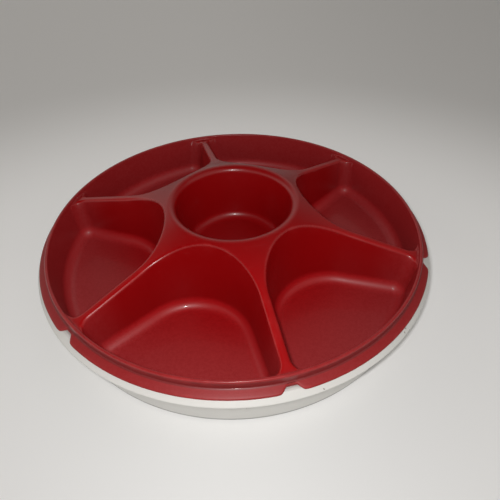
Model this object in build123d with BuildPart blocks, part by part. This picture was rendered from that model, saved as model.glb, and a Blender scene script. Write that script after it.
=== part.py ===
from build123d import *
import os
from math import atan, cos, hypot, radians, sin, sqrt, tan

# Chip and dip server: a divided tray that sits in a bowl.
# Millimetres and degrees, +Z up, origin at the middle of the bowl's foot.
# The first wedge well lies along +X, so the dividers point 30 degrees either side of it.

# ---- Driving dimensions: base bowl ----
ledge_height = 43.0          # flat ledge that the tray rests on, above the table
bowl_wall = 2.3
bowl_floor = 2.4
bowl_taper = 7.0             # lean of the bowl's wall
bowl_floor_radius = 12.0     # a flat cut lies against this round where the wall meets the floor
foot_ring_width = 5.0
foot_ring_height = 1.5
foot_edge_cut = 0.9
ledge_inset = 2.2            # ledge's outer corner inside the edge of the tray's flange
skirt_width = 4.6            # skirt outside the ledge's corner
skirt_drop = 3.8
skirt_edge_height = 1.0      # upright edge at the foot of the skirt
skirt_thickness = 2.0
ledge_corner_cut = 0.8
edge_cut = 0.4               # on edges that are only broken

# ---- Driving dimensions: divided tray ----
well_count = 6
tray_radius = 162.5          # edge of the flange
tray_wall = 2.0
flange_width = 6.3
flange_thickness = 2.2
flange_fall = 2.6            # how far the flange slopes down to its edge
flange_root_height = 4.5     # top of the flange at the lip, above the ledge
flange_edge_cut = 0.7
seat_rib_width = 1.6         # flat rib under the flange that rests on the ledge
seat_rib_gap = 0.2           # from the rib to the root of the notches
lip_rise = 6.2               # lip's crest above the root of the flange
lip_thickness = 2.4
lip_crest_cut = 0.7
draft = 8.0                  # lean of every well wall
divider_drop = 3.4           # outer end of a divider below the lip's crest
divider_width = 6.6
divider_lean = 12.0          # slope of a divider's top
ring_lean = 22.0             # slope of the web next to the dip well
web_bend_radius = 180.0      # between the two slopes
centre_rise = 23.4           # top of the dip well's rim above the lip's crest
dip_radius = 48.5            # dip well's wall at its rim
dip_depth = 49.5
dip_rim_radius = 5.5
dip_floor_radius = 8.0
ring_land = 9.0              # web between the dip well and a wedge well
well_depth = 37.4            # lip's crest to a wedge well's floor
well_corner_radius = 10.0
well_floor_radius = 9.0
notch_root_width = 6.0
notch_mouth_width = 15.0
notch_root_gap = 1.4         # strip of flange left between a notch and the lip
notch_root_radius = 1.0
notch_mouth_radius = 2.5
bowl_clearance = 1.0         # between the tray's wells and the bowl's wall

# ---- Levels and radii that follow ----
lean = tan(radians(draft))
slant = cos(radians(draft))
flange_root = ledge_height + flange_root_height
lip_crest = flange_root + lip_rise
divider_end = lip_crest - divider_drop
ring_top = lip_crest + centre_rise
well_floor = lip_crest - well_depth
dip_floor = ring_top - dip_depth
lip_outside = tray_radius - flange_width
lip_inside = lip_outside - lip_thickness
sector = 360 / well_count / 2


def moulded_outline(*corners):
    """Closed outline through corners, each (radius, level, edge).

    An edge above 0 is the radius of a round, and one below 0 the length of a flat cut.
    """
    points = []
    rounds = []
    for before, corner, after in zip(corners[-1:] + corners[:-1], corners, corners[1:] + corners[:1]):
        here = Vector(*corner[:2])
        if corner[2] >= 0:
            points.append(here)
            rounds.append(corner[2])
        else:
            points += [here - (Vector(*side[:2]) - here).normalized() * corner[2] for side in (before, after)]
            rounds += [0, 0]
    FilletPolyline(*points, radius=rounds, close=True)


def cut_under(radius):
    """Length of the flat cut that lies against a round of this radius in a square corner."""
    return (2 - sqrt(2)) * radius


def inside_radius(level):
    """Radius of the drafted face that is the lip's inside and the wells' outer wall."""
    return lip_inside - (lip_crest - level) * lean


# The web's top is two cones. The outer one starts at the lip, and the inner one
# is tangent to the round of the dip well's rim.
divider_slope = tan(radians(divider_lean))
ring_slope = tan(radians(ring_lean))
web_outer_radius = inside_radius(divider_end)
ring_radius = dip_radius + dip_rim_radius
ring_line = ring_top - dip_rim_radius + dip_rim_radius / cos(radians(ring_lean)) + ring_radius * ring_slope
divider_line = divider_end + web_outer_radius * divider_slope
bend_radius = (ring_line - divider_line) / (ring_slope - divider_slope)
bend_level = divider_line - bend_radius * divider_slope


def web_profile(sink):
    """Corner points of the web's top from the lip to the dip well, lowered by sink."""
    return [
        (web_outer_radius, divider_end - sink),
        (bend_radius, bend_level - sink),
        (dip_radius, ring_line - dip_radius * ring_slope - sink),
    ]


# A divider keeps its width while its top rises, so the floor lines of its two
# drafted sides turn a little away from its centre line.
side_turn = atan(divider_slope * lean)
side_angle = radians(sector) + side_turn
end_offset = divider_width / 2 + (divider_end - well_floor) * lean
line_offset = end_offset + web_outer_radius * tan(side_turn)
side_apex = line_offset * cos(side_turn) / sin(side_angle)
well_start = dip_radius + ring_land
well_start_level = ring_line - well_start * ring_slope
well_start_floor = well_start + (well_start_level - well_floor) * lean
well_end_floor = inside_radius(well_floor)


def wedge_form(grow):
    """One wedge well along +X: its round inside, or its plainer outside where grow is the wall.

    The outline is drawn upside down at the level of the ring's top, so that the
    taper narrows it towards the floor, and is mirrored into place at the end.
    """
    spread = grow / slant + (ring_top - well_floor) * lean
    start = well_start_floor - spread
    end = well_end_floor + spread
    apex = side_apex - spread / sin(side_angle)
    nose_radius = (start - apex) * sin(side_angle) / (1 - sin(side_angle))
    touch_x = start + nose_radius * (1 - sin(side_angle))
    touch_y = nose_radius * cos(side_angle)
    # The side line starts at the apex and ends on the circle of the outer wall.
    side_length = (end**2 - (apex * sin(side_angle)) ** 2) ** 0.5 - apex * cos(side_angle)
    corner_x = apex + side_length * cos(side_angle)
    corner_y = side_length * sin(side_angle)
    with BuildPart() as form:
        with BuildSketch(Plane.XY.offset(-ring_top)):
            with BuildLine():
                ThreePointArc((touch_x, touch_y), (start, 0), (touch_x, -touch_y))
                Line((touch_x, -touch_y), (corner_x, -corner_y))
                ThreePointArc((corner_x, -corner_y), (end, 0), (corner_x, corner_y))
                Line((corner_x, corner_y), (touch_x, touch_y))
            make_face()
        extrude(amount=ring_top - well_floor + grow, taper=draft)
        steep = form.edges().filter_by(lambda edge: abs(edge.tangent_at(0.5).Z) > 0.5)
        if grow:
            chamfer(steep.sort_by(Axis.X)[-2:], cut_under(well_corner_radius + grow))
            chamfer(form.faces().sort_by(Axis.Z)[-1].edges(), cut_under(well_floor_radius + grow))
        else:
            fillet(steep.sort_by(Axis.X)[-2:], well_corner_radius)
            fillet(form.faces().sort_by(Axis.Z)[-1].edges(), well_floor_radius)
        mirror(about=Plane.XY, mode=Mode.REPLACE)
    return form.part


# ---- Base bowl ----
ledge_inside = inside_radius(ledge_height) + tray_wall / slant + bowl_clearance
ledge_outside = tray_radius - ledge_inset
skirt_outside = ledge_outside + skirt_width
wall_outside = ledge_inside + bowl_wall
wall_lean = tan(radians(bowl_taper))
foot_radius = wall_outside - ledge_height * wall_lean
ledge_underside = ledge_height - skirt_thickness
skirt_edge = ledge_height - skirt_drop - skirt_edge_height
bowl_inside_floor = foot_ring_height + bowl_floor
bowl_inside = ledge_inside - (ledge_height - bowl_inside_floor) * wall_lean

with BuildPart() as base_bowl:
    with BuildSketch(Plane.XZ):
        with BuildLine():
            moulded_outline(
                (0, foot_ring_height, 0),
                (foot_radius - foot_ring_width, foot_ring_height, 0),
                (foot_radius - foot_ring_width, 0, 0),
                (foot_radius, 0, -foot_edge_cut),
                (wall_outside - skirt_thickness * wall_lean, ledge_underside, 0),
                (ledge_outside - skirt_thickness / 2, ledge_underside, 0),
                (skirt_outside - skirt_thickness, skirt_edge, 0),
                (skirt_outside, skirt_edge, 0),
                (skirt_outside, ledge_height - skirt_drop, 0),
                (ledge_outside, ledge_height, -ledge_corner_cut),
                (ledge_inside, ledge_height, -edge_cut),
                (bowl_inside, bowl_inside_floor, -cut_under(bowl_floor_radius)),
                (0, bowl_inside_floor, 0),
            )
        make_face()
    revolve(axis=Axis.Z)
base_bowl.part.label = "base_bowl"

# ---- Divided tray ----
notch_root = lip_outside + notch_root_gap
rib_outside = notch_root - seat_rib_gap
rib_inside = rib_outside - seat_rib_width
flange_slope = flange_fall / flange_width
flange_underside = flange_root - flange_thickness
dip_outside = tray_wall / slant
dip_foot = dip_radius - (web_profile(0)[2][1] - dip_floor) * lean


def under_flange(radius):
    """Level of the flange's underside."""
    return flange_underside - (radius - lip_outside) * flange_slope


with BuildPart() as under_web:
    with BuildSketch(Plane.XZ):
        with BuildLine():
            Polyline(
                (0, well_floor - tray_wall - 1),
                (lip_outside, well_floor - tray_wall - 1),
                (lip_outside, divider_end - tray_wall / 2),
                *web_profile(tray_wall / 2),
                (0, ring_line - dip_radius * ring_slope - tray_wall / 2),
                close=True,
            )
        make_face()
    revolve(axis=Axis.Z)

with BuildPart() as well_outside:
    add(wedge_form(tray_wall))
    add(under_web.part, mode=Mode.INTERSECT)

well_inside = wedge_form(0)

# The notches are cut by one sketch: a thin band outside the flange, whose rounded
# teeth reach in through it in line with each divider.
notch_flare = (notch_mouth_width - notch_root_width) / 2 / (tray_radius - notch_root)
notch_tooth_width = notch_root_width + 2 * notch_flare * (tray_radius + notch_mouth_radius - notch_root)

with BuildSketch(Plane.XY.offset(ledge_height)) as notches:
    Circle(tray_radius + notch_mouth_radius)
    Circle(tray_radius, mode=Mode.SUBTRACT)
    with PolarLocations(0, well_count, start_angle=sector):
        Polygon(
            (notch_root, -notch_root_width / 2),
            (tray_radius + notch_mouth_radius, -notch_tooth_width / 2),
            (tray_radius + notch_mouth_radius, notch_tooth_width / 2),
            (notch_root, notch_root_width / 2),
            align=None,
        )
    corners = notches.vertices().sort_by(lambda corner: hypot(corner.X, corner.Y))
    fillet(corners[: 2 * well_count], notch_root_radius)
    corners = notches.vertices().filter_by(lambda corner: hypot(corner.X, corner.Y) < tray_radius + 0.1)
    fillet(corners.sort_by(lambda corner: hypot(corner.X, corner.Y))[-2 * well_count :], notch_mouth_radius)

with BuildPart() as divided_tray:
    top = web_profile(0)
    underside = web_profile(tray_wall)
    with BuildSketch(Plane.XZ):
        with BuildLine():
            moulded_outline(
                (0, dip_floor, 0),
                (dip_foot, dip_floor, dip_floor_radius),
                (*top[2], dip_rim_radius),
                (*top[1], web_bend_radius),
                (*top[0], 0),
                (lip_inside, lip_crest, -lip_crest_cut),
                (lip_outside, lip_crest, -lip_crest_cut),
                (lip_outside, flange_root, 0),
                (tray_radius, flange_root - flange_fall, -flange_edge_cut),
                (tray_radius, under_flange(tray_radius), 0),
                (rib_outside, under_flange(rib_outside), 0),
                (rib_outside, ledge_height, 0),
                (rib_inside, ledge_height, 0),
                (rib_inside, under_flange(rib_inside), 0),
                (lip_outside - tray_wall, under_flange(lip_outside - tray_wall), 0),
                (lip_outside - tray_wall, divider_end - tray_wall, 0),
                (*underside[1], 0),
                (dip_radius + dip_outside, underside[2][1] - dip_outside * ring_slope, 0),
                (dip_foot + dip_outside, dip_floor - tray_wall, -cut_under(dip_floor_radius + tray_wall)),
                (0, dip_floor - tray_wall, 0),
            )
        make_face()
    revolve(axis=Axis.Z)
    with PolarLocations(0, well_count):
        add(well_outside.part)
    with PolarLocations(0, well_count):
        add(well_inside, mode=Mode.SUBTRACT)
    extrude(notches.sketch, amount=flange_root_height, both=True, mode=Mode.SUBTRACT)
divided_tray.part.label = "divided_tray"

os.makedirs("parts", exist_ok=True)
export_step(base_bowl.part, "parts/base_bowl.step")
export_step(divided_tray.part, "parts/divided_tray.step")
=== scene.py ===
import bmesh
import bpy
import numpy as np
from mathutils import Matrix, Vector


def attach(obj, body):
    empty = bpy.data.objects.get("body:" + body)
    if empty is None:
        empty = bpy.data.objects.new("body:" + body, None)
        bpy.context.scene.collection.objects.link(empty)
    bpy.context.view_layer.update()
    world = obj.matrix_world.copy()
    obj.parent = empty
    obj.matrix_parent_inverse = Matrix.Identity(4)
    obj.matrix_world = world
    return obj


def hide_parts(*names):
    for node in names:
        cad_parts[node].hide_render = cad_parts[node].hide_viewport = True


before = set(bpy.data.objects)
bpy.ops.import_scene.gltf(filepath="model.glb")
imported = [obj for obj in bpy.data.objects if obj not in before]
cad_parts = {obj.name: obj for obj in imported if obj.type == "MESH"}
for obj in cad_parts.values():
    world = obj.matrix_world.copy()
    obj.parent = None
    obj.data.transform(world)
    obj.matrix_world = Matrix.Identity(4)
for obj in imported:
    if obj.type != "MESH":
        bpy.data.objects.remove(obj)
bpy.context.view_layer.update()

# ---- Base bowl ----
# A low white bowl that carries the tray, injection moulded in satin plastic. It
# stands on a ring foot, and a short skirt hangs from the flat ledge at its mouth.


def rounded_profile(corners, steps=6):
    """Points (radius, level) along straight runs joined by arcs.

    Each corner is (radius, level, round). The arc touches both runs, so it starts
    round * tan(half the turn) before the corner, and its centre is one round away.
    """
    corners = np.array(corners, float)
    points = [corners[0, :2]]
    for before, here, after in zip(corners[:-2], corners[1:-1], corners[2:]):
        into = (here - before)[:2] / np.linalg.norm((here - before)[:2])
        out = (after - here)[:2] / np.linalg.norm((after - here)[:2])
        turn = np.arctan2(into[0] * out[1] - into[1] * out[0], into @ out)
        reach = here[2] * np.tan(abs(turn) / 2)
        if reach < 1e-6:
            points.append(here[:2])
            continue
        side = np.sign(turn) * np.array([-into[1], into[0]])
        angles = np.linspace(0, turn, steps)[:, None]
        swing = np.cos(angles) * -side + np.sin(angles) * np.array([side[1], -side[0]])
        points.extend(here[:2] - into * reach + here[2] * (side + swing))
    points.append(corners[-1, :2])
    return np.array(points)


def turned(profile, azimuths):
    """Grid of points: the profile turned about the upright axis, one row for each azimuth."""
    radius, level, turn = np.broadcast_arrays(profile[:, 0], profile[:, 1], azimuths[:, None])
    return np.stack([np.cos(turn) * radius, np.sin(turn) * radius, level], -1)


mm = 0.001  # in metres


def moulded_piece(name, sheets, sharp_angle=40, join_within=0.000004):
    """One closed smooth mesh from sheets: each is a grid in millimetres, and whether its rows close.

    A grid is (rows, columns, 3), and each four neighbouring points make a face. Points
    that meet are merged, so sheets that share an edge join there, and a row that
    shrinks to a point leaves triangles.
    """
    points, faces, count = [], [], 0
    for grid, closed in sheets:
        rows, columns = grid.shape[:2]
        i = np.arange(rows if closed else rows - 1)[:, None]
        j = np.arange(columns - 1)[None, :]
        here, onwards = i * columns + j, (i + 1) % rows * columns + j
        faces.append(np.stack([here, onwards, onwards + 1, here + 1], -1).reshape(-1, 4) + count)
        points.append(grid.reshape(-1, 3) * mm)
        count += rows * columns
    mesh = bpy.data.meshes.new(name)
    mesh.from_pydata(np.concatenate(points), [], np.concatenate(faces).tolist())
    work = bmesh.new()
    work.from_mesh(mesh)
    bmesh.ops.remove_doubles(work, verts=work.verts, dist=join_within)
    bmesh.ops.recalc_face_normals(work, faces=work.faces)
    work.to_mesh(mesh)
    work.free()
    mesh.polygons.foreach_set("use_smooth", np.ones(len(mesh.polygons), bool))
    mesh.set_sharp_from_angle(angle=np.radians(sharp_angle))
    piece = bpy.data.objects.new(name, mesh)
    bpy.context.scene.collection.objects.link(piece)
    return piece


# Sizes are in millimetres, and in metres once they are in a mesh.
ledge_height = 43.0
ledge_inside = 155.31
ledge_outside = 160.3
under_ledge = 41.0
skirt_root = 159.3
skirt_inside = 162.9
skirt_outside = 164.9
skirt_foot = 38.2
skirt_shoulder = 39.2
wall_top = 157.35           # radius of the outer wall under the ledge
foot_radius = 152.33
foot_inside = 147.33
foot_height = 1.5
bowl_floor = 3.9
bowl_floor_radius = 150.51  # where the inner wall would meet the floor
bowl_floor_round = 12.0
bowl_steps = 240

bowl_profile = rounded_profile(
    [
        (0, foot_height, 0),
        (foot_inside, foot_height, 0.6),
        (foot_inside, 0.0, 0.6),
        (foot_radius, 0.0, 1.2),
        (wall_top, under_ledge, 0.6),
        (skirt_root, under_ledge, 0.5),
        (skirt_inside, skirt_foot, 0.5),
        (skirt_outside, skirt_foot, 0.6),
        (skirt_outside, skirt_shoulder, 1.2),
        (ledge_outside, ledge_height, 1.2),
        (ledge_inside, ledge_height, 0.6),
        (bowl_floor_radius, bowl_floor, bowl_floor_round),
        (0, bowl_floor, 0),
    ]
)
turns = np.linspace(0, 2 * np.pi, bowl_steps, endpoint=False)
white_bowl = moulded_piece("white_bowl", [(turned(bowl_profile, turns), True)])
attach(white_bowl, "base")
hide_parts("base_bowl")


class Wire:
    """A socket in a material's nodes. Arithmetic on it adds Math nodes, and node() any other kind."""

    def __init__(self, tree, socket=None):
        self.tree = tree
        self.socket = socket

    def node(self, kind, settings, inputs, output=0):
        """Adds one node: its settings first, then a value or a link for each named or numbered input."""
        made = self.tree.nodes.new("ShaderNode" + kind)
        for name, value in settings.items():
            setattr(made, name, value)
        for place, value in inputs.items():
            if isinstance(value, Wire):
                self.tree.links.new(value.socket, made.inputs[place])
            else:
                made.inputs[place].default_value = value
        return Wire(self.tree, made.outputs[output])

    def feeds(self, socket):
        self.tree.links.new(self.socket, socket)

    def maths(self, operation, *values):
        return self.node("Math", {"operation": operation}, dict(enumerate(values)))

    def __add__(self, other):
        return self.maths("ADD", self, other)

    def __sub__(self, other):
        return self.maths("SUBTRACT", self, other)

    def __rsub__(self, other):
        return self.maths("SUBTRACT", other, self)

    def __mul__(self, other):
        return self.maths("MULTIPLY", self, other)

    __radd__ = __add__
    __rmul__ = __mul__

    def rise(self, low, high):
        """Smooth step of this value: 0 up to low, 1 from high."""
        return self.node(
            "MapRange",
            {"interpolation_type": "SMOOTHSTEP"},
            {"Value": self, "From Min": low, "From Max": high, "To Min": 0.0, "To Max": 1.0},
        )

    def noise(self, scale, detail=2.0, roughness=0.5, distortion=0.0):
        """Noise of about 1/scale metres, with this vector as its place."""
        inputs = {"Vector": self, "Scale": scale, "Detail": detail}
        inputs.update({"Roughness": roughness, "Distortion": distortion})
        return self.node("TexNoise", {}, inputs, "Fac")

    def stretched(self, scale, turn):
        """This vector scaled along its three axes after a turn, for patterns that run one way."""
        inputs = {"Vector": self, "Scale": scale, "Rotation": turn}
        return self.node("Mapping", {"vector_type": "POINT"}, inputs)

    def part(self, axis):
        """One of the three numbers of this vector."""
        return self.node("SeparateXYZ", {}, {0: self}, axis)

    def from_axis(self):
        """Distance of this place from the upright axis."""
        flat = self.node("VectorMath", {"operation": "MULTIPLY"}, {0: self, 1: (1, 1, 0)})
        return self.node("VectorMath", {"operation": "LENGTH"}, {0: flat}, "Value")

    def facing(self, direction):
        """How far this direction agrees with another: 1 where they are the same, 0 if square."""
        return self.node("VectorMath", {"operation": "DOT_PRODUCT"}, {0: self, 1: direction}, "Value")

    def mixed(self, first, second):
        """Colour that goes from first to second as this value goes from 0 to 1."""
        return self.node("Mix", {"data_type": "RGBA"}, {0: self, 6: first, 7: second}, 2)


white = bpy.data.materials.new("satin_white_plastic")
white.use_nodes = True
white_shader = white.node_tree.nodes["Principled BSDF"]
place = Wire(white.node_tree).node("TexCoord", {}, {}, "Object")
cloud = place.noise(16, 3.0, 0.6)
smudge = place.noise(55, 4.0, 0.65, 0.6)
grain = place.noise(1500, 2.0)
rub = place.stretched((40, 900, 900), (0, 0, 0.5)).noise(1.0, 3.0, 0.6).rise(0.62, 0.72)
speck = place.noise(260, 1.0).rise(0.775, 0.79)

# Painted shade darkens the outside of the wall, most right under the skirt where its shadow falls,
# and a painted contact shadow runs as a dark line along the foot.
level = place.part(2) * (1 / mm)
radius = place.from_axis() * (1 / mm)
wall_slope = 0.1224
outside_the_wall = (radius - level * wall_slope).rise(150.8, 151.5)
inside_the_skirt = 1 - radius.rise(158.0, 159.0)
# Painted shade: a gradient up the wall, and a darker band right under the skirt.
under_skirt_shade = level.rise(skirt_foot - 28, skirt_foot - 4) * 0.2
under_skirt_shade = under_skirt_shade + level.rise(skirt_foot - 9, skirt_foot - 4.5) * 0.3
under_skirt_shade = under_skirt_shade * outside_the_wall * inside_the_skirt
# A painted contact shadow: a dark band along the foot, where the bowl meets the table.
foot_contact_shadow = 1 - level.rise(1.7, 2.8)

clean_white = cloud.mixed((0.60, 0.588, 0.556, 1), (0.64, 0.63, 0.603, 1))
# The smudges are real dirt. The darkening under the skirt is painted shade.
smudged_and_shaded = (smudge.rise(0.5, 0.8) * 0.09 + under_skirt_shade).mixed(clean_white, (0.30, 0.285, 0.26, 1))
specked = (speck * 0.7).mixed(smudged_and_shaded, (0.16, 0.13, 0.10, 1))
(foot_contact_shadow * 0.75).mixed(specked, (0.13, 0.122, 0.115, 1)).feeds(white_shader.inputs["Base Color"])
(0.36 + smudge * 0.1 + rub * 0.12).feeds(white_shader.inputs["Roughness"])
relief = grain * 0.6 + smudge * 0.4 + rub * 0.3
bump = {"Height": relief, "Strength": 0.12, "Distance": 0.0002}
relief.node("Bump", {}, bump, "Normal").feeds(white_shader.inputs["Normal"])
white_bowl.data.materials.append(white)

# ---- Divided tray ----
# One red moulding of even wall: six wedge wells around a raised dip well, with
# dividers that rise from the lip to the dip well's rim. Its flange rests on the
# bowl's ledge, and is notched in line with each divider.

draft = np.radians(8.0)              # lean of every well wall
lean = np.tan(draft)
sector = np.radians(30.0)            # from the middle of a well to the middle of a divider
divider_slope = np.tan(np.radians(12.0))
ring_slope = np.tan(np.radians(22.0))
lip_crest = 53.7
lip_inside = 153.8
lip_outside = 156.2
lip_round = 1.1
divider_end = 50.3                   # level of a divider's top where it meets the lip
divider_half = 3.3                   # half a divider's width, at its outer end
well_floor = 16.3
well_floor_round = 9.0
well_middle = 108.0                  # where the profiles of a well meet on its floor
corner_round = 10.0
dip_floor = 27.6
dip_radius = 48.5
dip_floor_round = 8.0
dip_rim_round = 5.5
dip_rim_top = 77.1
wall = 2.0
wall_across = wall / np.cos(draft)   # wall measured level
web_end = lip_inside - (lip_crest - divider_end) * lean
ring_line = dip_rim_top - dip_rim_round + dip_rim_round / np.cos(np.arctan(ring_slope))
ring_line += (dip_radius + dip_rim_round) * ring_slope
divider_line = divider_end + web_end * divider_slope
bend_radius = (ring_line - divider_line) / (ring_slope - divider_slope)
bend_width = 15.5                    # the web bends over this much each side of bend_radius


def web_level(radius):
    """Level of the web's top: two cones, and a parabola over bend_width each side of where they meet."""
    across = np.clip((radius - bend_radius + bend_width) / (2 * bend_width), 0, 1)
    inner = ring_line - ring_slope * np.minimum(radius, bend_radius - bend_width)
    run = 2 * bend_width * across
    bend = -ring_slope * run + (ring_slope - divider_slope) * run * across / 2
    return inner + bend - divider_slope * np.maximum(radius - bend_radius - bend_width, 0)


def web_fall(radius):
    """Slope of the web's top outwards, from the inner cone's to the outer cone's."""
    across = np.clip((radius - bend_radius + bend_width) / (2 * bend_width), 0, 1)
    return -ring_slope + (ring_slope - divider_slope) * across


# A well's outline on its floor: a round nose, two straight sides, two corners and the
# outer wall. Its sides turn a little, because the divider above them slopes.
side_turn = np.arctan(divider_slope * lean)
side_angle = sector + side_turn
side_normal = np.pi / 2 + side_angle
well_start = 57.5
nose_start = well_start + (ring_line - well_start * ring_slope - well_floor) * lean
wall_end = lip_inside - (lip_crest - well_floor) * lean
side_offset = divider_half + (divider_end - well_floor) * lean + web_end * np.tan(side_turn)
side_apex = side_offset * np.cos(side_turn) / np.sin(side_angle)
nose_round = (nose_start - side_apex) * np.sin(side_angle) / (1 - np.sin(side_angle))
nose_centre = nose_start + nose_round


def corner_centre(spread, corner_round):
    """Centre of a well's corner: one corner_round inside its side line and its outer circle."""
    apex = side_apex - (spread - corner_round) / np.sin(side_angle)
    reach = wall_end + spread - corner_round
    along = np.sqrt(reach**2 - (apex * np.sin(side_angle)) ** 2) - apex * np.cos(side_angle)
    return apex + along * np.cos(side_angle), along * np.sin(side_angle)


def outline_point(kind, place, spread, corner_round):
    """Point on half of a well's outline, pushed outwards by spread from the floor's outline.

    kind 0 is the nose, where place is the direction from its centre. kind 1 is the
    side, where place runs from 0 at the nose to 1 at the corner. kind 2 is the corner,
    where it runs over its turn, and kind 3 the outer wall, from the corner to the middle.
    """
    cx, cy = corner_centre(spread, corner_round)
    corner_end = np.arctan2(cy, cx)
    nose_x = nose_centre + (nose_round + spread) * np.cos(place)
    nose_y = (nose_round + spread) * np.sin(place)
    from_x = nose_centre + (nose_round + spread) * np.cos(side_normal)
    from_y = (nose_round + spread) * np.sin(side_normal)
    to_x = cx + corner_round * np.cos(side_normal)
    to_y = cy + corner_round * np.sin(side_normal)
    turn = side_normal + place * (corner_end - side_normal)
    azimuth = corner_end * (1 - place)
    reach = wall_end + spread
    side_x, side_y = from_x + (to_x - from_x) * place, from_y + (to_y - from_y) * place
    turn_x, turn_y = cx + corner_round * np.cos(turn), cy + corner_round * np.sin(turn)
    x = np.choose(kind, [nose_x, side_x, turn_x, reach * np.cos(azimuth)])
    y = np.choose(kind, [nose_y, side_y, turn_y, reach * np.sin(azimuth)])
    normal = np.choose(kind, [place + 0 * x, side_normal + 0 * x, turn + 0 * x, azimuth + 0 * x])
    return x, y, normal


corner_azimuth = np.arctan2(*corner_centre((divider_end - well_floor) * lean, corner_round)[::-1])
ring_steps, nose_steps, side_steps, corner_steps, lip_steps = 10, 12, 14, 8, 16
ring_azimuths = np.linspace(0, sector, ring_steps + 1)
past_corner = np.linspace(sector, corner_azimuth, lip_steps + 1)
lip_azimuths = np.concatenate([past_corner, corner_azimuth * np.linspace(1, 0, lip_steps + 1)[1:]])
along_divider = np.array([np.cos(sector), np.sin(sector)])
across_divider = np.array([-np.sin(sector), np.cos(sector)])
square = np.array([np.cos(side_normal), np.sin(side_normal)])


def rim_rays(ring_radius, lip_radius, grow, drop):
    """Where half of a well's profiles cross its rim, and the points of the web's edge they head for.

    The edge is the dip well's ring, the divider's centre line and the lip. A profile
    leaves the outline square to it, so it comes from the nose's or the corner's centre
    or runs square to the side. The level of the rim follows the web, found in a few rounds.
    """
    round_now = corner_round + grow
    spread = (divider_end - drop - well_floor) * lean + grow
    side_end = np.array(corner_centre(spread, round_now)) + round_now * square
    skew = (square @ along_divider) / (square @ across_divider)
    meets = [
        start @ along_divider - (start @ across_divider) * skew
        for start in (np.array([nose_centre, 0]), side_end)
    ]
    line_radii = np.concatenate(
        [
            np.linspace(ring_radius, meets[0], nose_steps + 1)[1:],
            np.linspace(meets[0], meets[1], side_steps + 1)[1:],
            np.linspace(meets[1], lip_radius, corner_steps + 1)[1:-1],
        ]
    )
    counts = [len(ring_azimuths) + nose_steps, side_steps, corner_steps + lip_steps, lip_steps]
    kind = np.repeat([0, 1, 2, 3], counts)
    radii = np.concatenate([0 * ring_azimuths + ring_radius, line_radii, 0 * lip_azimuths + lip_radius])
    azimuths = np.concatenate([ring_azimuths, 0 * line_radii + sector, lip_azimuths])
    edge = np.stack([radii * np.cos(azimuths), radii * np.sin(azimuths)])
    spreads = np.full(len(kind), spread)
    for _ in range(12):
        cx, cy = corner_centre(spreads, round_now)
        start = np.stack(outline_point(1, 0.0, spreads, round_now)[:2])
        run = np.stack(outline_point(1, 1.0, spreads, round_now)[:2]) - start
        along = ((edge - start) * run).sum(0) / (run * run).sum(0)
        turned_by = np.arctan2(edge[1] - cy, edge[0] - cx) - side_normal
        around = np.clip(turned_by / (np.arctan2(cy, cx) - side_normal), 0, 1)
        from_nose = np.arctan2(edge[1], edge[0] - nose_centre)
        place = np.choose(kind, [from_nose, along, around, 1 - azimuths / corner_azimuth])
        x, y, normal = outline_point(kind, place, spreads, round_now)
        level = web_level(np.hypot(x, y)) - drop
        spreads = (level - well_floor) * lean + grow
    return kind, place, normal, level, edge


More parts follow.
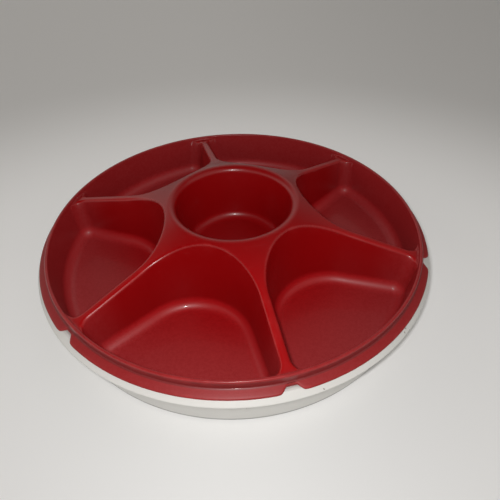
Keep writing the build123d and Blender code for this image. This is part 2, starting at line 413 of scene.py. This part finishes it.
def well_sheet(ring_radius, lip_radius, lip_level, grow, drop, rim_round, root_round):
    """Grid of one well from its floor to the edge of the web, one row for each profile.

    A profile is the flat floor, an arc, the drafted wall, an arc of rim_round onto the
    web, the web, and an arc of root_round up the lip, which it follows to lip_level.
    """
    kind, place, normal, level, edge = rim_rays(ring_radius, lip_radius, grow, drop)
    round_now = corner_round + grow
    to_lip = np.hypot(*edge) > lip_radius - 1e-6
    under = lip_level < divider_end
    if under:
        level = np.where(kind == 3, lip_level, level)
    x, y, _ = outline_point(kind, place, (level - well_floor) * lean + grow, round_now)
    distance = np.where(kind == 3, 0, np.hypot(edge[0] - x, edge[1] - y))
    outward = (x * np.cos(normal) + y * np.sin(normal)) / np.hypot(x, y)
    tilt = np.arctan(web_fall(np.hypot(x, y)) * outward)
    lip_lean = np.arctan(lean / np.maximum(outward, 0.3))
    rim_turn = np.pi / 2 - draft - tilt
    root_turn = np.pi / 2 - lip_lean - tilt
    root = np.where(to_lip, np.minimum(root_round, 0.4 * distance), 0)
    root_reach = root * np.tan(root_turn / 2)
    rim = np.clip((distance - root_reach - 0.1) / np.tan(rim_turn / 2), 0, rim_round)
    rim_reach = rim * np.tan(rim_turn / 2)

    floor = well_floor - drop
    floor_round = well_floor_round + grow
    base = grow + (floor - well_floor) * lean
    inset = floor_round * (1 - np.sin(draft)) / np.cos(draft)
    tangent = base - inset + floor_round * np.cos(draft)
    middle = np.array([well_middle, 0.0])
    fifths = np.linspace(0, 1, 6)[1:]
    columns = []
    foot_round = round_now - floor_round * np.cos(draft)
    foot = np.stack(outline_point(kind, place, base - inset + 0 * place, foot_round)[:2])
    for share in (0, 0.4, 0.75):
        columns.append((*(middle[:, None] + (foot - middle[:, None]) * share), floor + 0 * place))
    for angle in np.linspace(-np.pi / 2, -draft, 10):
        spread = base - inset + floor_round * np.cos(angle)
        px, py, _ = outline_point(kind, place, spread + 0 * place, round_now - (tangent - spread))
        columns.append((px, py, floor + floor_round * (1 + np.sin(angle)) + 0 * place))
    low = floor + floor_round * (1 - np.sin(draft))
    high = level - rim_reach * np.cos(draft)
    for share in fifths:
        height = low + (high - low) * share
        px, py, _ = outline_point(kind, place, (height - well_floor) * lean + grow, round_now)
        columns.append((px, py, height))

    def web_at(across):
        """Level of the web at a distance along each profile."""
        return web_level(np.hypot(x + across * np.cos(normal), y + across * np.sin(normal))) - drop

    # From here a point is (across, height) in the upright plane through its profile.
    web = []
    centre = (rim * np.cos(draft) - rim_reach * np.sin(draft), high - rim * np.sin(draft))
    for share in fifths:
        angle = (np.pi - draft) + (np.pi / 2 + tilt - (np.pi - draft)) * share
        web.append((centre[0] + rim * np.cos(angle), centre[1] + rim * np.sin(angle)))
    rim_end = rim_reach * np.cos(tilt)
    root_start = distance - root_reach * np.cos(tilt)
    off = level + rim_reach * np.sin(tilt) - web_at(rim_end)
    for share in fifths:
        across = rim_end + (root_start - rim_end) * share
        web.append((across, web_at(across) + off * (1 - share)))
    foot = web[-1]
    centre = (foot[0] - root * np.sin(tilt), foot[1] + root * np.cos(tilt))
    for share in fifths:
        angle = (tilt - np.pi / 2) + (np.pi / 2 - tilt - lip_lean) * share
        web.append((centre[0] + root * np.cos(angle), centre[1] + root * np.sin(angle)))
    # The wall that runs straight up into the lip has no web, so its points climb to lip_level.
    climb = np.linspace(0, 1, len(web) + 2)[1:-1]
    gather = np.where(to_lip & under, np.clip(distance / 3, 0, 1), 1.0)
    for (across, height), share in zip(web, climb):
        gathered = lip_level + (height - lip_level) * gather
        height = np.where(kind == 3, level + (lip_level - level) * share, gathered)
        wx, wy, _ = outline_point(kind, place, (height - well_floor) * lean + grow, round_now)
        px = np.where(kind == 3, wx, x + across * np.cos(normal))
        py = np.where(kind == 3, wy, y + across * np.sin(normal))
        columns.append((px, py, height))
    lip_spread = (lip_level - well_floor) * lean + grow
    wx, wy, _ = outline_point(kind, place, lip_spread + 0 * place, round_now)
    azimuth = np.where(kind == 3, np.arctan2(wy, wx), np.arctan2(edge[1], edge[0]))
    lip_x = (wall_end + lip_spread) * np.cos(azimuth)
    lip_y = (wall_end + lip_spread) * np.sin(azimuth)
    on_lip = zip((lip_x, lip_y, lip_level), columns[-1])
    columns.append(tuple(np.where(to_lip, moved, kept) for moved, kept in on_lip))
    half = np.moveaxis(np.array([np.stack(column) for column in columns]), 2, 0)
    mirrored = half[-2:0:-1] * np.array([1, -1, 1])
    return np.concatenate([half, mirrored]), azimuth[to_lip]


def around(grid, count=6):
    """The grid repeated at equal turns about the upright axis."""
    turns = 2 * np.pi * np.arange(count) / count
    none, whole = 0 * turns, 1 + 0 * turns
    across, ahead = np.cos(turns), np.sin(turns)
    spin = np.array([[across, -ahead, none], [ahead, across, none], [none, none, whole]])
    return np.einsum("ijk,rcj->krci", spin, grid)


# The dip well is turned, from its floor out to the ring where the web starts.
ring_radius = dip_radius + dip_rim_round + dip_rim_round * np.sin(np.arctan(ring_slope))
ring_corner = ring_line - dip_radius * ring_slope
dip_foot = dip_radius - (ring_corner - dip_floor) * lean
dip_top = rounded_profile(
    [
        (0, dip_floor, 0),
        (dip_foot, dip_floor, dip_floor_round),
        (dip_radius, ring_corner, dip_rim_round),
        (ring_radius, web_level(ring_radius), 0),
    ],
    steps=11,
)
under_ring = dip_radius + wall_across + 1.2
dip_under = rounded_profile(
    [
        (0, dip_floor - wall, 0),
        (dip_foot + wall_across, dip_floor - wall, dip_floor_round + wall),
        (dip_radius + wall_across - 0.35, web_level(dip_radius + wall_across) - wall, 0.8),
        (under_ring, web_level(under_ring) - wall, 0),
    ],
    steps=9,
)

lip_start = divider_end + 2.1
flange_meets = 45.9
under_lip_level = divider_end - wall
under_lip = lip_inside - (lip_crest - under_lip_level) * lean + wall_across
rim_round, root_round = 2.7, 2.0
well_top, top_azimuths = well_sheet(ring_radius, web_end, lip_start, 0.0, 0.0, rim_round, root_round)
well_under, under_azimuths = well_sheet(under_ring, under_lip, flange_meets, wall_across, wall, 0.0, 0.0)

# The lip and flange are turned too, but the flange's edge steps in at each notch.
tray_radius = 162.5
flange_root = 47.5
flange_thickness = 2.2
flange_slope = 2.6 / 6.3
flange_start = 157.3                 # the flange's top, clear of the round at the lip
edge_inset = 1.0                     # from the flange's edge to where its round starts
edge_reach = 0.95                    # how far that round reaches inwards
rib_inside = 155.8
rib_outside = 157.4
underside_start = 157.45             # the flange's underside stays outside this radius
notch_root = 157.6
notch_half_root = 3.0
notch_flare = 4.5 / (tray_radius - notch_root)
notch_half_turn = 0.06               # a notch lies within this angle of its divider


def flange_edge(azimuths, root_soft=0.8, mouth_soft=1.6):
    """Radius of the flange's edge: tray_radius, but for a notch at each divider.

    A notch has a flat root and flared sides. Its corners are rounded by a smooth
    maximum and minimum, (a + b +- sqrt((a - b)^2 + soft)) / 2.
    """
    off = sector - np.abs(azimuths)
    side = (notch_flare * notch_root - notch_half_root) / (notch_flare * np.cos(off) - np.sin(off))
    outside = tray_radius + 20
    side = np.where(off > notch_half_turn, outside, side)
    root = notch_root / np.cos(off)
    inner = (root + side + np.sqrt((root - side) ** 2 + root_soft)) / 2
    inner = np.where(off > notch_half_turn, outside, inner)
    return (inner + tray_radius - np.sqrt((inner - tray_radius) ** 2 + mouth_soft)) / 2


def flange_level(radius):
    """Level of the flange's top, a cone that falls outwards from the lip."""
    return flange_root - (radius - lip_outside) * flange_slope


def lip_sheet(start_azimuths, end_azimuths):
    """Grid of the lip and flange over half a sector, one row for each azimuth.

    The profile climbs the lip's inside, rounds its crest, drops to the flange, runs
    down its slope to the edge, and returns underneath past the rib that rests on the ledge.
    """
    inside = rounded_profile(
        [
            (lip_inside - (lip_crest - lip_start) * lean, lip_start, 0),
            (lip_inside, lip_crest, lip_round),
            (lip_outside, lip_crest, lip_round),
            (lip_outside, flange_root, 0.8),
            (flange_start, flange_level(flange_start), 0),
        ],
        steps=6,
    )
    slope_turn = np.arctan(flange_slope)
    angles = np.linspace(np.pi / 2 - slope_turn, -np.pi / 2 - slope_turn, 13)
    edge_round = np.stack([
        edge_reach * np.cos(angles) - edge_reach,
        np.sin(angles) - flange_thickness / 2,
    ], -1)
    returning = rounded_profile(
        [
            (rib_outside + 0.1, flange_level(rib_outside + 0.1) - flange_thickness, 0),
            (rib_outside, flange_level(rib_outside) - flange_thickness, 0),
            (rib_outside, ledge_height, 0.3),
            (rib_inside, ledge_height, 0.3),
            (rib_inside, flange_level(rib_inside) - flange_thickness, 0.2),
            (wall_end + (flange_meets - well_floor) * lean + wall_across, flange_meets, 0),
        ],
        steps=4,
    )
    edge = flange_edge(start_azimuths)[:, None]
    spread = np.ones_like(edge)
    radius = [spread * inside[:, 0]]
    level = [spread * inside[:, 1]]
    for share in (0.35, 0.7):
        run = flange_start + (edge - edge_inset - flange_start) * share
        radius.append(run)
        level.append(flange_level(run))
    radius.append(edge + edge_round[:, 0])
    level.append(flange_level(edge - 0.3) + edge_round[:, 1])
    for share in (0.7, 0.35):
        run = rib_outside + 0.1 + (edge - edge_inset - rib_outside - 0.1) * share
        radius.append(np.maximum(run, underside_start))
        level.append(flange_level(run) - flange_thickness)
    radius.append(spread * returning[:, 0])
    level.append(spread * returning[:, 1])
    radius = np.concatenate(radius, 1)
    level = np.concatenate(level, 1)
    share = np.linspace(0, 1, radius.shape[1])
    azimuth = start_azimuths[:, None] * (1 - share) + end_azimuths[:, None] * share
    return np.stack([radius * np.cos(azimuth), radius * np.sin(azimuth), level], -1)


half_lip = lip_sheet(top_azimuths, under_azimuths)
lip = np.concatenate([half_lip, half_lip[-2::-1] * np.array([1, -1, 1])])
ring_turns = np.sort(np.concatenate([ring_azimuths, -ring_azimuths[:0:-1]]))
sheets = [(sheet, True) for sheet in around(well_top)]
sheets += [(sheet, True) for sheet in around(well_under)]
sheets += [(sheet, False) for sheet in around(lip)]
sheets += [(sheet, False) for sheet in around(turned(dip_top, ring_turns))]
sheets += [(sheet, False) for sheet in around(turned(dip_under, ring_turns))]
red_tray = moulded_piece("red_tray", sheets)
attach(red_tray, "tray")
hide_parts("divided_tray")


def edge_curve(mesh):
    """Curvature at each vertex in 1/mm, positive where the surface is convex.

    Along an edge it is (change of normal . change of place) / length squared, and a
    vertex takes the largest of its edges.
    """
    ends = np.empty(len(mesh.edges) * 2, np.int32)
    mesh.edges.foreach_get("vertices", ends)
    points = np.empty(len(mesh.vertices) * 3)
    mesh.vertices.foreach_get("co", points)
    normals = np.empty(len(mesh.vertices) * 3)
    mesh.vertices.foreach_get("normal", normals)
    ends, points, normals = ends.reshape(-1, 2), points.reshape(-1, 3) / mm, normals.reshape(-1, 3)
    run = points[ends[:, 1]] - points[ends[:, 0]]
    bend = ((normals[ends[:, 1]] - normals[ends[:, 0]]) * run).sum(1) / np.maximum((run**2).sum(1), 0.01)
    curve = np.full(len(points), -9.0)
    np.maximum.at(curve, ends[:, 0], bend)
    np.maximum.at(curve, ends[:, 1], bend)
    return curve


edge_values = red_tray.data.attributes.new("edge_curve", "FLOAT", "POINT")
edge_values.data.foreach_set("value", edge_curve(red_tray.data).astype(np.float32))

red = bpy.data.materials.new("satin_red_plastic")
red.use_nodes = True
red_shader = red.node_tree.nodes["Principled BSDF"]
place = Wire(red.node_tree).node("TexCoord", {}, {}, "Object")
cloud = place.noise(14, 3.0, 0.55)
smudge = place.noise(60, 4.0, 0.65, 0.8)
grain = place.noise(1100, 3.0, 0.6)
mottle = place.noise(420, 2.0, 0.6)
rub_along = place.stretched((25, 700, 700), (0, 0, 0.35)).noise(1.0, 3.0, 0.6, 0.3).rise(0.63, 0.74)
rub_across = place.stretched((600, 30, 600), (0, 0, -0.6)).noise(1.0, 3.0, 0.6, 0.3).rise(0.64, 0.75)
rub = rub_along + rub_across
edge = place.node("Attribute", {"attribute_name": "edge_curve"}, {}, "Fac").rise(0.12, 0.5)
# Convex edges turn lighter and pinker. This is partly edge wear and partly a painted highlight along the
# rims.
worn_and_highlit_edge = edge * smudge.rise(0.45, 0.7)
granules = 0.45 + mottle.rise(0.36, 0.64) * 0.35 + grain.rise(0.38, 0.64) * 0.35 + smudge * 0.4

# Wear and painted light by place: the floors and their rounds are lighter red, partly rubbed by food and
# partly painted light, with a painted highlight along the rounds;
# a pale haze grows from the dip well outwards, partly washing haze and partly painted sheen; and the
# upward tops of the dividers are painted lighter and left without haze.
level = place.part(2) * (1 / mm)
radius = place.from_axis() * (1 / mm)
on_floor = 1 - level.rise(well_floor + 2, well_floor + 10)
on_round = level.rise(well_floor + 0.2, well_floor + 2.7)
on_round = on_round * (1 - level.rise(well_floor + 6, well_floor + 11))
in_dip = 1 - radius.rise(dip_radius - 1.5, dip_radius + 1.5)
in_dip = in_dip * (1 - level.rise(dip_floor + 2.4, dip_floor + 8.4))
facing_up = place.node("TexCoord", {}, {}, "Normal").part(2).rise(0.3, 0.8)
on_top = level.rise(divider_end - 10, divider_end)
on_top = on_top * (1 - radius.rise(lip_inside - 3.8, lip_inside - 0.3)) * facing_up
on_flange = radius.rise(lip_outside, lip_outside + 1.8)
outwards = radius.rise(65, 160)
# A pale pink haze that grows outwards. It is partly washing haze and partly painted sheen, standing in
# for reflections.
haze_and_sheen = on_floor * outwards + (1 - on_floor) * radius.rise(115, 152) * 0.6
haze_and_sheen = haze_and_sheen * (1 - on_top) * (1 - 0.25 * on_flange)

# The corner between the lip's outer side and the flange is painted darker.
in_corner = radius.rise(lip_outside - 0.5, lip_outside - 0.1)
in_corner = in_corner * (1 - radius.rise(lip_outside + 0.6, lip_outside + 1.4))
in_corner = in_corner * (1 - level.rise(lip_crest - 2.2, lip_crest - 0.7))

# The floors, their rounds and the dip's floor turn lighter red. This is partly rubbing and partly
# painted light, brightest along the rounds as a painted highlight.
rubbing_and_light = (on_floor * 0.7 + on_round * 0.75 + in_dip * 0.3) * granules
moulded = cloud.mixed((0.218, 0.0003, 0.0010, 1), (0.240, 0.0005, 0.0014, 1))
# Painted light: the upward-facing tops of the dividers are painted a lighter red.
with_lit_tops = (on_top * radius.rise(55, 100)).mixed(moulded, (0.31, 0.001, 0.002, 1))
rubbed_and_lit = rubbing_and_light.mixed(with_lit_tops, (0.36, 0.004, 0.006, 1))
hazed_and_sheened = (haze_and_sheen * granules * 0.5).mixed(rubbed_and_lit, (0.35, 0.040, 0.043, 1))
corner_darkened = (in_corner * 0.55).mixed(hazed_and_sheened, (0.09, 0.012, 0.012, 1))
scratched = (rub * 0.10).mixed(corner_darkened, (0.36, 0.030, 0.030, 1))
(worn_and_highlit_edge * 0.25).mixed(scratched, (0.42, 0.030, 0.030, 1)).feeds(red_shader.inputs["Base Color"])
dulling = outwards * 0.06 + on_floor * 0.05 + on_round * 0.05 + on_flange * 0.18
dulling = dulling + smudge * 0.08 + mottle * 0.06 + rub * 0.08
(0.25 + dulling - edge * 0.06).feeds(red_shader.inputs["Roughness"])
((0.16 - smudge * 0.12) * (1 - on_flange)).feeds(red_shader.inputs["Coat Weight"])
red_shader.inputs["Specular IOR Level"].default_value = 0.33
red_shader.inputs["Coat Roughness"].default_value = 0.09
relief = grain * 0.5 + mottle * 0.5 + rub * 0.25
bump = {"Height": relief, "Strength": 0.15, "Distance": 0.0003}
relief.node("Bump", {}, bump, "Normal").feeds(red_shader.inputs["Normal"])
red_tray.data.materials.append(red)

# ---- Floor, light and camera ----
# A plain pale table top in a plain pale room. The light is one small lamp beside
# the camera and the room itself, and nothing here belongs to the server.
table_half = 4.0
floor_corners = [(-1, -1, 0), (1, -1, 0), (1, 1, 0), (-1, 1, 0)]
floor_mesh = bpy.data.meshes.new("floor")
floor_mesh.from_pydata((np.array(floor_corners) * table_half).tolist(), [], [(0, 1, 2, 3)])
floor = bpy.data.objects.new("floor", floor_mesh)
bpy.context.scene.collection.objects.link(floor)
floor_finish = bpy.data.materials.new("pale_table_top")
floor_finish.use_nodes = True
floor_shader = floor_finish.node_tree.nodes["Principled BSDF"]
floor_shader.inputs["Base Color"].default_value = (0.78, 0.775, 0.765, 1)
floor_shader.inputs["Roughness"].default_value = 0.35
floor_shader.inputs["Emission Strength"].default_value = 1.0

# Away from the lamp's pool of light the table is lifted a little, as the camera and
# gloss see it, so that it stays pale there. This puts no light on the server.
light_pool = (-0.06, -0.22, 0)
lift = 0.17
place = Wire(floor_finish.node_tree).node("TexCoord", {}, {}, "Object")
from_pool = place.node("VectorMath", {"operation": "DISTANCE"}, {0: place, 1: light_pool}, "Value")
seen = place.node("LightPath", {}, {}, "Is Camera Ray")
seen = seen + place.node("LightPath", {}, {}, "Is Glossy Ray")
lifted = from_pool.rise(0.05, 0.32) * (1 - from_pool.rise(0.36, 0.7)) * lift
(seen * lifted).mixed((0, 0, 0, 1), (1.0, 0.98, 0.96, 1)).feeds(floor_shader.inputs["Emission Color"])
floor.data.materials.append(floor_finish)

# The room: pale walls that are dark overhead, brightest at the left and high at the
# back, and two soft patches of window light, behind and at the front right.
world = bpy.data.worlds.new("soft_room")
bpy.context.scene.world = world
world.use_nodes = True
background = world.node_tree.nodes["Background"]
background.inputs["Strength"].default_value = 1.0
looking = Wire(world.node_tree).node("TexCoord", {}, {}, "Generated")
sideways, depth, height = [looking.part(axis) for axis in range(3)]
walls = 0.9 - 0.5 * sideways.rise(-0.9, -0.3)
walls = walls * (1 - height.rise(0.35, 0.8)) * (0.6 + 0.4 * height.rise(0.0, 0.3))
high_back = depth.rise(0.0, 0.8) * height.rise(0.15, 0.45) * (1 - height.rise(0.45, 0.7))
room = 1.1 * (walls + 0.4 * high_back) * (1 - 0.65 * sideways.rise(0.05, 0.7))
back_window = looking.facing((0.2, 0.6, 0.77)).rise(0.87, 0.98)
front_window = looking.facing((0.62, -0.52, 0.59)).rise(0.7, 0.95)
brightness = 0.02 + room + 0.35 * back_window + 0.55 * front_window
brightness.mixed((0, 0, 0, 1), (1.0, 0.96, 0.91, 1)).feeds(background.inputs["Color"])

# The camera looks down at about 39 degrees from 0.4 m, turned 11 degrees off the
# front divider, and then a little in yaw, pitch and roll.
turn = np.radians(-11.34)
look_down = 0.67703
distance = 0.39599
aim_level = 0.0536
yaw, pitch, roll = -0.03128, -0.0627, 0.04473
focal_pixels = 459.09
picture_width = 500
sensor_width = 36.0


def swung(vector, axis, angle):
    """Vector turned about a unit axis (Rodrigues' formula)."""
    along = axis * (axis @ vector) * (1 - np.cos(angle))
    return vector * np.cos(angle) + np.cross(axis, vector) * np.sin(angle) + along


level_reach = distance * np.cos(look_down)
rise = distance * np.sin(look_down)
from_aim = np.array([level_reach * np.sin(turn), -level_reach * np.cos(turn), rise])
ahead = -from_aim / np.linalg.norm(from_aim)
right = np.cross(ahead, [0, 0, 1.0])
right /= np.linalg.norm(right)
up = np.cross(right, ahead)
ahead, right = swung(ahead, up, yaw), swung(right, up, yaw)
ahead, up = swung(ahead, right, pitch), swung(up, right, pitch)
right, up = swung(right, ahead, roll), swung(up, ahead, roll)
lens = bpy.data.cameras.new("camera")
lens.sensor_width = sensor_width
lens.lens = focal_pixels / picture_width * sensor_width
camera = bpy.data.objects.new("camera", lens)
bpy.context.scene.collection.objects.link(camera)
pose = np.eye(4)
pose[:3, 0], pose[:3, 1], pose[:3, 2] = right, up, -ahead
pose[:3, 3] = from_aim + np.array([0, 0, aim_level])
camera.matrix_world = Matrix(pose.tolist())
bpy.context.scene.camera = camera

# The lamp: 18 mm square, just to the left of the lens, and aimed at the tray.
lamp = bpy.data.lights.new("key_lamp", "AREA")
lamp.size = 0.018
lamp.energy = 0.88
lamp_spot = Vector((pose[:3, 3] - 0.012 * right + 0.008 * up).tolist())
lamp_aim = Vector((0, 0, 0.03))
lamp_holder = bpy.data.objects.new("key_lamp", lamp)
bpy.context.scene.collection.objects.link(lamp_holder)
lamp_turn = (lamp_spot - lamp_aim).to_track_quat("Z", "Y").to_matrix().to_4x4()
lamp_holder.matrix_world = Matrix.Translation(lamp_spot) @ lamp_turn
bpy.context.scene.view_settings.view_transform = "Standard"
